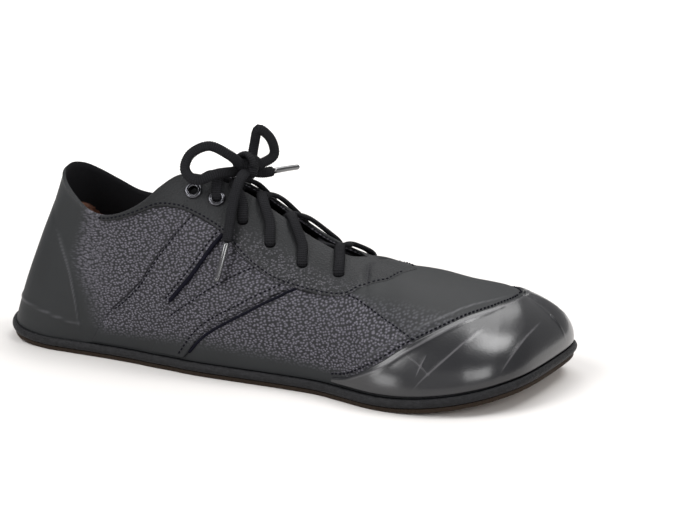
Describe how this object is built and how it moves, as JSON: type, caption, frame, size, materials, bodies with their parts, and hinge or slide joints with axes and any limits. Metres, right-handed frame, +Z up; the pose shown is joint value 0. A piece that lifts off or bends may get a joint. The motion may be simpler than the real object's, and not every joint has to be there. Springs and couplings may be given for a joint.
{
  "type": "barefoot shoe",
  "caption": "Flat wide-toed lace-up barefoot shoe in black leather with a thin flexible sole, for the right foot.",
  "frame": {"origin": "on the floor, under the middle of the sole's length and width", "axes": "+X from heel to toe, +Y to the inner (big toe) side, +Z up"},
  "size_m": [0.2874, 0.1174, 0.1115],
  "materials": {
    "tan_rubber": "matt, fine tread",
    "black_edge": "wrapped and rounded, granular, satin",
    "tan_leather": "matt, mottled",
    "grained_leather": "pebbled grain, soft sheen",
    "smooth_leather": "smooth, satin",
    "cap_leather": "polished, smooth",
    "steel": "polished",
    "lace": "woven, matt, fine cross ribs",
    "aglet_plastic": "glossy"
  },
  "bodies": {
    "root": {"outsole": "tan_rubber", "midsole": "black_edge", "insole": "tan_leather", "upper": "grained_leather", "rear_strap_outer": "grained_leather", "rear_strap_inner": "grained_leather", "front_strap_outer": "grained_leather", "front_strap_inner": "grained_leather", "tongue": "grained_leather", "facing": "smooth_leather", "toe_cap": "cap_leather", "eyelet_outer_1": "steel", "eyelet_outer_2": "steel", "eyelet_inner_1": "steel", "eyelet_inner_2": "steel", "lace_bar": "lace", "lace_crossing_1": "lace", "lace_crossing_2": "lace", "lace_crossing_3": "lace", "lace_crossing_4": "lace", "lace_tie": "lace", "lace_knot": "lace", "lace_loop_outer": "lace", "lace_loop_inner": "lace", "lace_end_outer": "lace", "lace_end_inner": "lace", "lace_aglet_outer": "aglet_plastic", "lace_aglet_inner": "aglet_plastic"}
  },
  "joints": []
}
